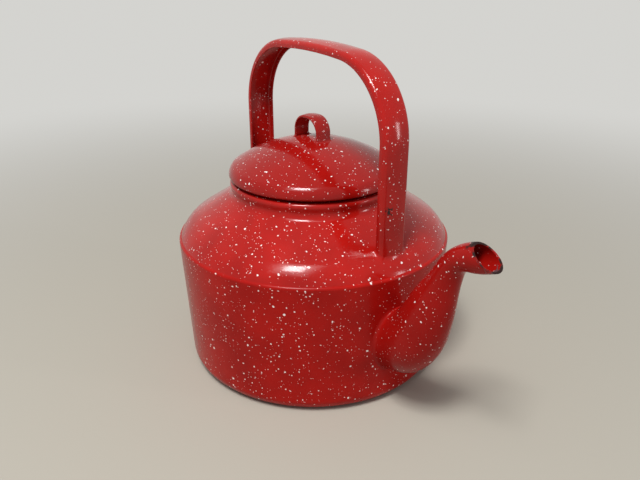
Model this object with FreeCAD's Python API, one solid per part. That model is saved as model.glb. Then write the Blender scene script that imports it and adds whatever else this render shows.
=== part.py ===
"""Enamelled steel kettle: drawn pot, pressed shoulder, two-piece gooseneck spout, strap handle, loose lid.

Millimetres and degrees. The origin is the centre of the base, +Z is up and +X points to the spout.
Everything is pressed from one gauge of sheet; each height is stacked on the piece below it.
"""
import FreeCAD
import Part
import math
import os

# Sheet gauge: steel with an enamel coat on both sides
sheet = 1.2

# Pot
pot_top_radius = 95.0
pot_taper = 4.4
pot_height = 93.3
base_corner = 9.2
base_rise = 1.5
base_rise_radius = 66.0
base_step_run = 4.0
base_step_bend = 3.0
seam_bend = 1.6
seam_lap = 3.2

# Shoulder: steep band above the seam, soft bend, cone, neck and turned-in rim
seam_step = 0.8
band_length = 7.87
band_angle = 64.0
shoulder_bend = 22.0
cone_angle = 32.5
neck_radius = 57.0
neck_height = 9.5
neck_root_bend = 5.0
rim_bend = 2.4
rim_width = 6.2

# Lid: dome, skirt and loop
lid_seat_gap = 0.3
lid_groove = 2.6
lid_overhang = 1.2
lid_side_height = 2.0
lid_corner = 8.0
lid_dome_height = 25.3
hem_bend = 1.6
hem_width = 2.8
skirt_clearance = 1.2
skirt_depth = 9.0
skirt_bend = 1.2
skirt_step_bend = 1.6
lid_turn = 3.2
loop_span = 28.0
loop_splay = 3.0
loop_corner = 11.9
loop_height = 15.2
loop_back = 1.3
loop_width = 11.6
loop_crown = 0.8
loop_crown_bend = 14.0
loop_edge_bend = 1.0

# Handle: channel strap, legs on the shoulder, hand room above the loop
handle_half_span = 81.5
handle_forward = 6.1
handle_corner = 50.5
handle_top_angle = 5.3
handle_width = 19.8
handle_depth = 6.1
handle_crown = 1.5
handle_crown_bend = 28.0
handle_edge_bend = 3.2
hand_room = 42.5

# Spout centreline: foot, lower bend, straight rise, upper bend, mouth
spout_foot_height = 45.3
spout_root = 8.6
spout_foot_angle = 5.0
spout_lower_bend = 38.0
spout_rise_angle = 68.0
spout_rise = 49.0
spout_upper_bend = 20.0
spout_mouth_angle = 17.0
spout_mouth_reach = 12.4
mouth_cut_angle = -32.5

# Spout sections: half width across the kettle, half depth in its middle plane
foot_half_width, foot_half_depth = 14.8, 19.5
swell_half_width, swell_half_depth = 16.4, 21.4
belly_half_width, belly_half_depth = 15.6, 18.4
waist_half_width, waist_half_depth = 12.0, 15.2
throat_half_width, throat_half_depth = 8.8, 9.6
bend_half_width, bend_half_depth = 7.5, 7.4
mouth_half_width, mouth_half_depth = 7.9, 8.8

# Pour holes behind the spout
pour_hole = 6.0
pour_margin = 2.0
pour_ring_count = 6

# Spare length of tools that cut right through a piece
spare = 20.0

# Values worked out from the driving dimensions
AXIS = FreeCAD.Vector(0, 0, 1)
ORIGIN = FreeCAD.Vector(0, 0, 0)
pot_base_radius = pot_top_radius - pot_taper
rim_inner_radius = neck_radius - rim_width
lid_radius = neck_radius + lid_overhang
hem_inner_radius = lid_radius - hem_width
skirt_radius = rim_inner_radius - skirt_clearance


def at(radius, height):
    """A point of the half plane y = 0 that the profiles are drawn in."""
    return FreeCAD.Vector(radius, 0, height)


def toward(angle):
    """Unit direction in the half plane, from the horizontal."""
    return at(math.cos(math.radians(angle)), math.sin(math.radians(angle)))


def crossing(point_a, along_a, point_b, along_b):
    """Where two lines of the half plane meet."""
    det = along_a.x * along_b.z - along_a.z * along_b.x
    gap = point_b - point_a
    return point_a + along_a * ((gap.x * along_b.z - gap.z * along_b.x) / det)


def parallel(corners, gap, start_cut, end_cut):
    """Corners of the line that runs a gap to the left of an outline, with its bends kept concentric."""
    points = [point for point, bend in corners]
    runs = [(after - before).normalize() for before, after in zip(points, points[1:])]
    lefts = [FreeCAD.Vector(-run.z, 0, run.x) * gap for run in runs]
    moved = [(crossing(points[0], start_cut, points[0] + lefts[0], runs[0]), 0.0)]
    for index in range(1, len(points) - 1):
        before, after = runs[index - 1], runs[index]
        corner = crossing(points[index] + lefts[index - 1], before, points[index] + lefts[index], after)
        turns_left = before.x * after.z - before.z * after.x > 0
        bend = corners[index][1]
        moved.append((corner, bend - gap if turns_left else bend + gap))
    moved.append((crossing(points[-1], end_cut, points[-1] + lefts[-1], runs[-1]), 0.0))
    return moved


def bent_line(corners):
    """Edges of an open outline whose corners are rounded to their bend radius."""
    edges = []
    start = corners[0][0]
    for (before, _), (corner, bend), (after, _) in zip(corners, corners[1:], corners[2:]):
        if bend <= 0:
            edges.append(Part.LineSegment(start, corner).toShape())
            start = corner
            continue
        back = (before - corner).normalize()
        ahead = (after - corner).normalize()
        half = back.getAngle(ahead) / 2
        reach = bend / math.tan(half)
        middle = (back + ahead).normalize()
        arc_start = corner + back * reach
        arc_end = corner + ahead * reach
        arc_middle = corner + middle * (bend / math.sin(half) - bend)
        if start.distanceToPoint(arc_start) > 1e-6:
            edges.append(Part.LineSegment(start, arc_start).toShape())
        edges.append(Part.Arc(arc_start, arc_middle, arc_end).toShape())
        start = arc_end
    edges.append(Part.LineSegment(start, corners[-1][0]).toShape())
    return edges


def face_between(first, second):
    """Face between two open outlines that run side by side."""
    heads = Part.LineSegment(first[0].Vertexes[0].Point, second[0].Vertexes[0].Point).toShape()
    tails = Part.LineSegment(first[-1].Vertexes[-1].Point, second[-1].Vertexes[-1].Point).toShape()
    return Part.Face(Part.Wire(Part.__sortEdges__(first + second + [heads, tails])))


def sheet_section(corners, gauge, start_cut, end_cut):
    """Cut face of bent sheet: the outline, its parallel to the left and the two cut ends."""
    return face_between(bent_line(corners), bent_line(parallel(corners, gauge, start_cut, end_cut)))


def spun(face):
    """Face of the half plane spun round the kettle's axis."""
    return face.revolve(ORIGIN, AXIS, 360)


def filled(corners):
    """Everything inside an outline that is spun round the axis: a tool to trim what sits on it."""
    first, last = corners[0][0], corners[-1][0]
    edges = bent_line(corners)
    low, high = at(0, first.z), at(0, last.z)
    rim = [Part.LineSegment(low, first).toShape()] if first.x > 0 else []
    closing = [Part.LineSegment(last, high).toShape(), Part.LineSegment(high, low).toShape()]
    return spun(Part.Face(Part.Wire(Part.__sortEdges__(edges + rim + closing))))


# Pot
def pot_outline():
    """Outside of the pot from the axis out over the base, up the wall and in over the seam's ledge."""
    return [
        (at(0, base_rise), 0.0),
        (at(base_rise_radius, base_rise), base_step_bend),
        (at(base_rise_radius + base_step_run, 0), base_step_bend),
        (at(pot_base_radius, 0), base_corner),
        (at(pot_top_radius, pot_height), seam_bend),
        (at(pot_top_radius - seam_lap, pot_height), 0.0),
    ]


def wall_radius(height):
    """Outside radius of the tapered wall."""
    return pot_base_radius + pot_taper * height / pot_height


def pour_holes():
    """Drills for the middle hole and the oval ring of holes that open into the spout's foot."""
    ring_width = foot_half_width - sheet - pour_margin - pour_hole / 2
    ring_depth = foot_half_depth - sheet - pour_margin - pour_hole / 2
    places = [(0.0, 0.0)]
    for step in range(pour_ring_count):
        turn = 2 * math.pi * step / pour_ring_count
        places.append((ring_width * math.sin(turn), ring_depth * math.cos(turn)))
    drills = []
    for across, above in places:
        start = FreeCAD.Vector(pot_base_radius - spare, across, spout_foot_height + above)
        drills.append(Part.makeCylinder(pour_hole / 2, 2 * spare, start, FreeCAD.Vector(1, 0, 0)))
    return drills


def make_pot():
    """Drawn pot with a raised base, a turned-in top edge and the pour holes."""
    shell = spun(sheet_section(pot_outline(), sheet, AXIS, AXIS))
    return shell.cut(pour_holes())


# Shoulder
def shoulder_outline():
    """Outside of the shoulder from the seam up to the inner edge of the rim."""
    seam = at(pot_top_radius - seam_step, pot_height)
    break_point = seam + toward(180 - band_angle) * band_length
    cone = toward(180 - cone_angle)
    neck_root = crossing(break_point, cone, at(neck_radius, 0), AXIS)
    neck_top = at(neck_radius, neck_root.z + neck_height)
    return [
        (seam, 0.0),
        (break_point, shoulder_bend),
        (neck_root, neck_root_bend),
        (neck_top, rim_bend),
        (at(rim_inner_radius, neck_top.z), 0.0),
    ]


def make_shoulder():
    """Pressed shoulder, neck and rim in one sheet."""
    return spun(sheet_section(shoulder_outline(), sheet, FreeCAD.Vector(1, 0, 0), AXIS))


# Lid
rim_top = shoulder_outline()[-1][0].z
lid_edge = rim_top + lid_groove
lid_top = lid_edge + lid_dome_height
loop_top = lid_top + loop_height


def dome_line(inset):
    """Edges of the lid's outside from the top to the end of the hem, or of a line an inset within it."""
    hub = at(lid_radius - lid_corner, lid_edge + lid_side_height)
    drop = hub.z - lid_top
    dome = (lid_corner ** 2 - hub.x ** 2 - drop ** 2) / (2 * (drop + lid_corner))
    centre = at(0, lid_top - dome)
    join = math.degrees(math.atan2(hub.z - centre.z, hub.x))
    top = centre + AXIS * (dome - inset)
    crown = centre + toward((90 + join) / 2) * (dome - inset)
    corner_start = hub + toward(join) * (lid_corner - inset)
    corner_middle = hub + toward(join / 2) * (lid_corner - inset)
    corner_end = hub + toward(0) * (lid_corner - inset)
    hem_hub = at(lid_radius - hem_bend, lid_edge + hem_bend)
    hem_start = hem_hub + toward(0) * (hem_bend - inset)
    hem_middle = hem_hub + toward(-45) * (hem_bend - inset)
    hem_end = hem_hub + toward(-90) * (hem_bend - inset)
    return [
        Part.Arc(top, crown, corner_start).toShape(),
        Part.Arc(corner_start, corner_middle, corner_end).toShape(),
        Part.LineSegment(corner_end, hem_start).toShape(),
        Part.Arc(hem_start, hem_middle, hem_end).toShape(),
        Part.LineSegment(hem_end, at(hem_inner_radius, hem_end.z)).toShape(),
    ]


def make_lid_dome():
    """Pressed dome with a rounded corner, its edge hemmed inwards under the ring it holds."""
    return spun(face_between(dome_line(0.0), dome_line(sheet)))


def make_lid_skirt():
    """Stepped ring: flange on the dome's hem, seat on the neck's rim and collar inside the neck."""
    flange_height = lid_edge + sheet
    seat_height = rim_top + lid_seat_gap
    step_radius = hem_inner_radius - skirt_bend
    outline = [
        (at(lid_radius - hem_bend, flange_height), 0.0),
        (at(step_radius, flange_height), skirt_bend),
        (at(step_radius, seat_height), skirt_step_bend),
        (at(skirt_radius, seat_height), skirt_bend),
        (at(skirt_radius, seat_height - skirt_depth), 0.0),
    ]
    return spun(sheet_section(outline, -sheet, AXIS, FreeCAD.Vector(1, 0, 0)))


def crowned_strap(width, depth, crown, crown_bend, edge_bend, gauge):
    """Section of a bent strap: across is X, outwards is Z, edges turned in by a depth."""
    half = width / 2
    outline = [
        (at(half, -depth), 0.0),
        (at(half, -crown), edge_bend),
        (at(0, 0), crown_bend),
        (at(-half, -crown), edge_bend),
        (at(-half, -depth), 0.0),
    ]
    return sheet_section(outline, gauge, FreeCAD.Vector(1, 0, 0), FreeCAD.Vector(1, 0, 0))


def swept_strap(section, path):
    """Strap section carried along a path that starts upwards on the +X side, outside out."""
    start = path[0].Vertexes[0].Point
    along = path[0].tangentAt(path[0].FirstParameter)
    across = FreeCAD.Vector(0, 1, 0)
    outwards = across.cross(along)
    placing = FreeCAD.Matrix(
        across.x, along.x, outwards.x, start.x,
        across.y, along.y, outwards.y, start.y,
        across.z, along.z, outwards.z, start.z,
        0, 0, 0, 1,
    )
    seated = section.transformed(placing)
    return Part.Wire(path).makePipeShell([seated.OuterWire], True, True)


def make_lid_loop():
    """Small strap loop on splayed legs, its feet trimmed to the dome, turned with the loose lid."""
    lean = math.tan(math.radians(loop_splay))
    foot = at(loop_span / 2 + spare / 2 * lean, lid_top - spare / 2)
    corner = at(loop_span / 2 - loop_height * lean, loop_top)
    path = bent_line([
        (foot, 0.0),
        (corner, loop_corner),
        (at(-corner.x, corner.z), loop_corner),
        (at(-foot.x, foot.z), 0.0),
    ])
    section = crowned_strap(
        loop_width, loop_crown + sheet, loop_crown, loop_crown_bend, loop_edge_bend, sheet
    )
    dome_edges = dome_line(0.0)
    low = at(0, lid_edge)
    closing = [
        Part.LineSegment(dome_edges[-1].Vertexes[-1].Point, low).toShape(),
        Part.LineSegment(low, at(0, lid_top)).toShape(),
    ]
    dome_fill = spun(Part.Face(Part.Wire(Part.__sortEdges__(dome_edges + closing))))
    loop = swept_strap(section, path)
    loop.translate(at(-loop_back, 0))
    loop = loop.cut(dome_fill)
    loop.rotate(ORIGIN, AXIS, lid_turn)
    return loop


# Handle
def make_handle_strap():
    """Channel strap bent to a flat-topped arch, its feet trimmed to the shoulder."""
    outline = shoulder_outline()
    low = at(pot_top_radius, pot_height - spare)
    shoulder_fill = filled([(low, 0.0)] + outline)
    top = loop_top + hand_room + handle_depth
    top_lean = math.sin(math.radians(handle_top_angle))
    top_radius = handle_corner + (handle_half_span - handle_corner) / top_lean
    top_centre = at(0, top - top_radius)
    join_angle = 90 - handle_top_angle
    hub = top_centre + toward(join_angle) * (top_radius - handle_corner)
    right_edges = [
        Part.LineSegment(at(handle_half_span, pot_height), at(handle_half_span, hub.z)).toShape(),
        Part.Arc(
            at(handle_half_span, hub.z),
            hub + toward(join_angle / 2) * handle_corner,
            hub + toward(join_angle) * handle_corner,
        ).toShape(),
    ]
    crown = Part.Arc(
        top_centre + toward(join_angle) * top_radius,
        top_centre + toward(90) * top_radius,
        top_centre + toward(180 - join_angle) * top_radius,
    ).toShape()
    left_edges = [
        Part.Arc(
            at(-hub.x, hub.z) + toward(180 - join_angle) * handle_corner,
            at(-hub.x, hub.z) + toward(180 - join_angle / 2) * handle_corner,
            at(-handle_half_span, hub.z),
        ).toShape(),
        Part.LineSegment(at(-handle_half_span, hub.z), at(-handle_half_span, pot_height)).toShape(),
    ]
    section = crowned_strap(
        handle_width, handle_depth, handle_crown, handle_crown_bend, handle_edge_bend, sheet
    )
    arch = swept_strap(section, right_edges + [crown] + left_edges)
    arch.translate(at(handle_forward, 0))
    return arch.cut(shoulder_fill)


# Spout
def spout_place(length):
    """Point and slope of the spout's centreline a length along it from its root inside the wall."""
    spot = at(wall_radius(spout_foot_height) - spout_root, spout_foot_height)
    slope = spout_foot_angle
    bends = (
        (spout_lower_bend, spout_rise_angle, spout_rise),
        (-spout_upper_bend, spout_mouth_angle, spout_mouth_reach + spare),
    )
    for radius, next_slope, straight in bends:
        arc = abs(math.radians(next_slope - slope) * radius)
        turned = min(max(length, 0.0), arc)
        new_slope = slope + math.degrees(turned / radius)
        spot = spot + (toward(slope - 90) - toward(new_slope - 90)) * -radius
        slope = new_slope
        length -= turned
        run = min(max(length, 0.0), straight)
        spot = spot + toward(slope) * run
        length -= run
    return spot, slope


lower_arc = math.radians(spout_rise_angle - spout_foot_angle) * spout_lower_bend
upper_arc = math.radians(spout_rise_angle - spout_mouth_angle) * spout_upper_bend
mouth_station = lower_arc + spout_rise + upper_arc + spout_mouth_reach


def spout_stations():
    """Named sections of the spout: station along the centreline, half width, half depth."""
    return [
        (0.0, foot_half_width, foot_half_depth),
        (lower_arc * 0.40, swell_half_width, swell_half_depth),
        (lower_arc * 0.85, belly_half_width, belly_half_depth),
        (lower_arc + spout_rise * 0.36, waist_half_width, waist_half_depth),
        (lower_arc + spout_rise * 0.82, throat_half_width, throat_half_depth),
        (lower_arc + spout_rise + upper_arc * 0.55, bend_half_width, bend_half_depth),
        (mouth_station, mouth_half_width, mouth_half_depth),
        (mouth_station + spare / 2, mouth_half_width, mouth_half_depth),
    ]


def half_ring(size):
    """Cut edge of one pressed half: outer and inner half ovals joined on the middle plane."""
    spot, slope = spout_place(size.x)
    ahead = toward(slope)
    arcs = []
    for inset in (0.0, sheet):
        down = toward(slope - 90) * (size.z - inset)
        placing = FreeCAD.Matrix(
            down.x, 0, ahead.x, spot.x,
            0, size.y - inset, 0, 0,
            down.z, 0, ahead.z, spot.z,
            0, 0, 0, 1,
        )
        arcs.append(Part.makeCircle(1.0, ORIGIN, AXIS, 0, 180).transformGeometry(placing))
    outer, inner = arcs
    lower = Part.LineSegment(outer.Vertexes[0].Point, inner.Vertexes[0].Point).toShape()
    upper = Part.LineSegment(outer.Vertexes[-1].Point, inner.Vertexes[-1].Point).toShape()
    return Part.Wire([outer, upper, inner, lower])


def half_spout(section_count=11):
    """Left half of the spout, drawn smoothly through sections square to the centreline."""
    sizes = Part.BSplineCurve()
    sizes.interpolate([FreeCAD.Vector(*station) for station in spout_stations()])
    first, last = sizes.FirstParameter, sizes.LastParameter
    shares = [index / (section_count - 1) for index in range(section_count)]
    return Part.makeLoft([half_ring(sizes.value(first + (last - first) * share)) for share in shares], True)


def make_spout_halves():
    """Two pressed halves, their foot trimmed to the wall and their mouth cut aslant."""
    mouth, _ = spout_place(mouth_station)
    cut_size = 10 * spare
    cutter = Part.makeBox(cut_size, cut_size, cut_size, FreeCAD.Vector(-cut_size / 2, -cut_size / 2, 0))
    cutter.rotate(ORIGIN, FreeCAD.Vector(0, 1, 0), -mouth_cut_angle)
    cutter.translate(mouth)
    left_half = half_spout().cut([filled(pot_outline()), cutter])
    return left_half, left_half.mirror(ORIGIN, FreeCAD.Vector(0, 1, 0))


def main():
    """Build every piece and write it to its own file."""
    left_half, right_half = make_spout_halves()
    pieces = {
        "pot": make_pot(),
        "shoulder": make_shoulder(),
        "spout_left_half": left_half,
        "spout_right_half": right_half,
        "handle_strap": make_handle_strap(),
        "lid_dome": make_lid_dome(),
        "lid_skirt": make_lid_skirt(),
        "lid_loop": make_lid_loop(),
    }
    os.makedirs("parts", exist_ok=True)
    for name, shape in pieces.items():
        box = shape.BoundBox
        print(
            f"{name}: {len(shape.Solids)} solid, valid {shape.isValid()}, {shape.Volume:.0f} mm3,"
            f" x {box.XMin:.1f} to {box.XMax:.1f}, z {box.ZMin:.1f} to {box.ZMax:.1f}"
        )
        shape.exportStep(os.path.join("parts", name + ".step"))


main()
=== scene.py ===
# %% [markdown]
# A red enamel kettle, dressed in Blender.
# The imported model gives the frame: every piece here sits in the same place as its solid, in metres.
# The real kettle is pressed from thin steel sheet and dipped in enamel, so each piece is drawn as one
# smooth skin first and gets its thickness afterwards. One enamel recipe serves them all, mixed a little
# differently from piece to piece.

# %% Load the frame
import math

import bpy
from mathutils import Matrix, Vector


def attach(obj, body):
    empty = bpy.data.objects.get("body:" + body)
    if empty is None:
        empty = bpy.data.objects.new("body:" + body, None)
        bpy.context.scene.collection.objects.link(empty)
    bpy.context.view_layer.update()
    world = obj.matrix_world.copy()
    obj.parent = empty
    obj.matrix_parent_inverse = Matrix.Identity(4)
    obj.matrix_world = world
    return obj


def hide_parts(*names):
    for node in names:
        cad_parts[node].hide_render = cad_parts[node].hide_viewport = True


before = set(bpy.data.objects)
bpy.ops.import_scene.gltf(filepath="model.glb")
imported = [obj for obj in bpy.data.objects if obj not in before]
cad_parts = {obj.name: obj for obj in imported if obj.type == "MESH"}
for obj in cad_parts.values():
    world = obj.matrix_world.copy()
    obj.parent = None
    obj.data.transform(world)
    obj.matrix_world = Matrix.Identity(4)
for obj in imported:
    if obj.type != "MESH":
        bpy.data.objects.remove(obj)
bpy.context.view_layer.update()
MM = 0.001

# %% [markdown]
# The camera stands where the photograph's did: out in front of the spout, to one side of it and well above
# the rim. A lens of 36 mm on a sensor of 36 mm sees as wide as the photograph does, so lines run together
# as they do there. An aim point and a tracked rotation are easier to read than three angles.

# %% Camera
CAMERA_SPOT = Vector((352.99, -237.53, 269.89)) * MM
CAMERA_AIM = Vector((5.55, 1.63, 84.06)) * MM
LENS, SENSOR = 36.0, 36.0
camera_data = bpy.data.cameras.new("photo_camera")
camera_data.lens = LENS
camera_data.sensor_width = SENSOR
camera = bpy.data.objects.new("photo_camera", camera_data)
bpy.context.scene.collection.objects.link(camera)
camera.location = CAMERA_SPOT
sight = CAMERA_AIM - CAMERA_SPOT
camera.rotation_euler = sight.to_track_quat("-Z", "Y").to_euler()
bpy.context.scene.camera = camera
bpy.context.scene.view_settings.view_transform = "Standard"
print("camera is", round(sight.length, 3), "m from its aim")

# %% [markdown]
# Blender's modelling tools act on what is selected in edit mode. Vertices are picked here by a test on their
# place, because their numbers change with almost every tool.

# %% Selecting
TOUCH = 1e-6


def clear_selection():
    """Go back to object mode with nothing selected."""
    if bpy.context.object and bpy.context.object.mode != "OBJECT":
        bpy.ops.object.mode_set(mode="OBJECT")
    bpy.ops.object.select_all(action="DESELECT")


def select_vertices(piece, test):
    """Leave edit mode on, with only the vertices that pass the test selected."""
    bpy.ops.object.mode_set(mode="EDIT")
    bpy.ops.mesh.select_mode(type="VERT")
    bpy.ops.mesh.select_all(action="DESELECT")
    bpy.ops.object.mode_set(mode="OBJECT")
    for vertex in piece.data.vertices:
        vertex.select = test(vertex.co)
    bpy.ops.object.mode_set(mode="EDIT")


print("places closer than", TOUCH, "m count as one")

# %% [markdown]
# Every skin but the spout's starts as a line of vertices. A plane merged to one vertex is the pen, and each
# extrusion draws the line on to the next corner. A vertex bevel then rounds a corner to its real bend: the
# reach along both edges is the bend radius times the tangent of half the turn.

# %% Drawing a bent line
BEND_STEP, LEAST_STEPS = 7, 3


def round_corner(piece, before, corner, after, bend):
    """Bevel one corner of a drawn line to a bend radius."""
    turn = (corner - before).angle(after - corner)
    select_vertices(piece, lambda place: (place - corner).length < TOUCH)
    steps = max(LEAST_STEPS, round(math.degrees(turn) / BEND_STEP))
    reach = bend * math.tan(turn / 2)
    bpy.ops.mesh.bevel(
        offset=reach, offset_type="OFFSET", segments=steps, profile=0.5, affect="VERTICES",
    )


def bent_line(name, corners):
    """Draw an open line through corners given as (x, y, z, bend) in millimetres."""
    places = [Vector(corner[:3]) * MM for corner in corners]
    clear_selection()
    bpy.ops.mesh.primitive_plane_add(size=MM, location=(0, 0, 0))
    piece = bpy.context.object
    piece.name = name
    bpy.ops.object.mode_set(mode="EDIT")
    bpy.ops.mesh.select_mode(type="VERT")
    bpy.ops.mesh.merge(type="CENTER")
    bpy.ops.transform.translate(value=places[0])
    for start, end in zip(places, places[1:]):
        bpy.ops.mesh.extrude_vertices_move(TRANSFORM_OT_translate={"value": end - start})
    for index in range(1, len(places) - 1):
        if corners[index][3] > 0:
            round_corner(piece, *places[index - 1:index + 2], corners[index][3] * MM)
    bpy.ops.object.mode_set(mode="OBJECT")
    return piece


print("a right angle is bent in", round(90 / BEND_STEP), "steps")

# %% [markdown]
# A skin becomes sheet with a Solidify modifier that grows to one side only, because the drawn side is what
# was measured. The cut edges get a hair of Bevel so that they catch a line of light, as a dipped edge does.

# %% Sheet thickness and edges
SHEET = 1.2
THINNED_SHARE = 0.15
EDGE_ROUND, EDGE_STEPS, EDGE_ANGLE = 0.35, 3, math.radians(50)
SMOOTH_ANGLE = math.radians(40)


def apply_modifier(piece, kind, **values):
    """Add one modifier to a piece, set its values and apply it."""
    clear_selection()
    piece.select_set(True)
    bpy.context.view_layer.objects.active = piece
    modifier = piece.modifiers.new(kind.lower(), kind)
    for key, value in values.items():
        setattr(modifier, key, value)
    bpy.ops.object.modifier_apply(modifier=modifier.name)


def thicken(piece, group=""):
    """Give a skin its sheet; outside the vertex group it thins out to almost nothing."""
    apply_modifier(
        piece, "SOLIDIFY", thickness=SHEET * MM, offset=-1.0, use_even_offset=True,
        vertex_group=group, thickness_vertex_group=THINNED_SHARE,
    )


def soften_edges(piece, width=EDGE_ROUND):
    """Round the sharp edges of a piece by a small bevel."""
    apply_modifier(
        piece, "BEVEL", width=width * MM, segments=EDGE_STEPS, limit_method="ANGLE", angle_limit=EDGE_ANGLE,
    )


def smooth(piece):
    """Shade a piece smoothly and let its large faces lead the shading."""
    clear_selection()
    piece.select_set(True)
    bpy.context.view_layer.objects.active = piece
    bpy.ops.object.shade_smooth_by_angle(angle=SMOOTH_ANGLE)
    apply_modifier(piece, "WEIGHTED_NORMAL", mode="FACE_AREA", keep_sharp=True)


print("sheet of", SHEET, "mm with edges rounded by", EDGE_ROUND, "mm")

# %% [markdown]
# Four of the pieces are round, as a press makes them. A half profile spun about the axis gives such a piece
# in one step. The spin ends where it started, so the doubled vertices there are merged.

# %% Spinning a profile
SPIN_STEPS = 160


def spin_round(piece, inward=False):
    """Spin a half profile about the kettle's axis, close the seam and point its faces one way."""
    bpy.context.view_layer.objects.active = piece
    bpy.ops.object.mode_set(mode="EDIT")
    bpy.ops.mesh.select_all(action="SELECT")
    bpy.ops.mesh.spin(steps=SPIN_STEPS, angle=2 * math.pi, center=(0, 0, 0), axis=(0, 0, 1))
    bpy.ops.mesh.select_all(action="SELECT")
    bpy.ops.mesh.remove_doubles(threshold=TOUCH)
    bpy.ops.mesh.normals_make_consistent(inside=inward)
    bpy.ops.object.mode_set(mode="OBJECT")


def report(piece):
    """Print a piece's number of faces and its box in millimetres."""
    low = [round(min(v.co[axis] for v in piece.data.vertices) / MM, 1) for axis in range(3)]
    high = [round(max(v.co[axis] for v in piece.data.vertices) / MM, 1) for axis in range(3)]
    print(f"{piece.name}: {len(piece.data.polygons)} faces, from {low} to {high} mm")


print("round pieces have", SPIN_STEPS, "sides")

# %% [markdown]
# The pot is a deep drawn cup. Its half profile runs from the middle of the base, which is dished up a
# little, out over the ring that it stands on, round the corner, up the leaning wall and in over a narrow
# ledge at the seam. A cylinder could be extruded ring by ring instead, but a spun profile keeps every bend
# at its real radius.

# %% Pot
POT_BASE_RADIUS, POT_TOP_RADIUS = 90.6, 95.0
POT_HEIGHT = 93.3
BASE_CORNER = 9.2
BASE_RISE, BASE_RISE_RADIUS = 1.5, 66.0
BASE_STEP_RUN, BASE_STEP_BEND = 4.0, 3.0
SEAM_BEND, SEAM_LAP = 2.0, 3.2
pot = bent_line("kettle_pot", [
    (0, 0, BASE_RISE, 0),
    (BASE_RISE_RADIUS, 0, BASE_RISE, BASE_STEP_BEND),
    (BASE_RISE_RADIUS + BASE_STEP_RUN, 0, 0, BASE_STEP_BEND),
    (POT_BASE_RADIUS, 0, 0, BASE_CORNER),
    (POT_TOP_RADIUS, 0, POT_HEIGHT, SEAM_BEND),
    (POT_TOP_RADIUS - SEAM_LAP, 0, POT_HEIGHT, 0),
])
spin_round(pot)
thicken(pot)
report(pot)

# %% [markdown]
# Water reaches the spout through a ring of drilled holes behind its foot, with one more in the middle. Each
# is cut with a Boolean: a narrow cylinder stands in for the drill and is taken away again.

# %% Pour holes
SPOUT_FOOT_HEIGHT = 45.3
HOLE_RADIUS, HOLE_SIDES, HOLE_COUNT = 3.0, 24, 6
HOLE_RING_WIDTH, HOLE_RING_DEPTH = 8.6, 13.3
DRILL_PLACE, DRILL_LENGTH = 92.0, 20.0
holes = [(0.0, 0.0)]
for step in range(HOLE_COUNT):
    turn = math.tau * step / HOLE_COUNT
    holes.append((HOLE_RING_WIDTH * math.sin(turn), HOLE_RING_DEPTH * math.cos(turn)))
for across, above in holes:
    clear_selection()
    bpy.ops.mesh.primitive_cylinder_add(
        vertices=HOLE_SIDES, radius=HOLE_RADIUS * MM, depth=DRILL_LENGTH * MM,
        location=(DRILL_PLACE * MM, across * MM, (SPOUT_FOOT_HEIGHT + above) * MM),
        rotation=(0, math.pi / 2, 0),
    )
    drill = bpy.context.object
    apply_modifier(pot, "BOOLEAN", object=drill, operation="DIFFERENCE", solver="EXACT")
    bpy.data.objects.remove(drill)
smooth(pot)
print(len(holes), "pour holes drilled")

# %% [markdown]
# The shoulder, the neck and the rim are one pressing: a steep band over the seam, a soft bend into the cone,
# a tight bend up into the neck and a rim turned in as a seat for the lid. The rim swells out by less than a
# millimetre first, as a rolled and dipped edge does, and catches a line of light under the lid. The band's
# foot is tucked in behind the pot's edge, so that the seam shows as a line.

# %% Shoulder
NECK_RADIUS, NECK_HEIGHT, NECK_ROOT_BEND = 57.0, 9.5, 5.0
BAND_LENGTH, BAND_SLOPE = 7.87, math.radians(64.0)
CONE_SLOPE, CONE_BEND = math.radians(32.5), 22.0
SEAM_STEP, BAND_TUCK, BAND_DIP = 0.8, 0.7, 0.4
RIM_SWELL, RIM_WIDTH, RIM_BEND = 0.7, 6.2, 2.4
SWELL_FOOT, SWELL_FOOT_BEND = 6.0, 6.0
SWELL_TOP, SWELL_TOP_BEND = 2.9, 3.0
band_foot = POT_TOP_RADIUS - SEAM_STEP
cone_radius = band_foot - BAND_LENGTH * math.cos(BAND_SLOPE)
cone_foot = POT_HEIGHT + BAND_LENGTH * math.sin(BAND_SLOPE)
neck_root = cone_foot + (cone_radius - NECK_RADIUS) * math.tan(CONE_SLOPE)
rim_top = neck_root + NECK_HEIGHT
shoulder = bent_line("kettle_shoulder", [
    (band_foot - BAND_TUCK, 0, POT_HEIGHT - BAND_DIP, 0),
    (cone_radius, 0, cone_foot, CONE_BEND),
    (NECK_RADIUS, 0, neck_root, NECK_ROOT_BEND),
    (NECK_RADIUS, 0, rim_top - SWELL_FOOT, SWELL_FOOT_BEND),
    (NECK_RADIUS + RIM_SWELL, 0, rim_top - SWELL_TOP, SWELL_TOP_BEND),
    (NECK_RADIUS + RIM_SWELL, 0, rim_top, RIM_BEND),
    (NECK_RADIUS - RIM_WIDTH, 0, rim_top, 0),
])
spin_round(shoulder)
thicken(shoulder)
smooth(shoulder)
report(shoulder)

# %% [markdown]
# The lid's dome is one large arc and one small one. The two tangents of the large arc meet in a corner, and
# a bevel with the dome's own radius turns that corner into the arc. The edge is hemmed in under the ring
# that it holds.

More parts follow.
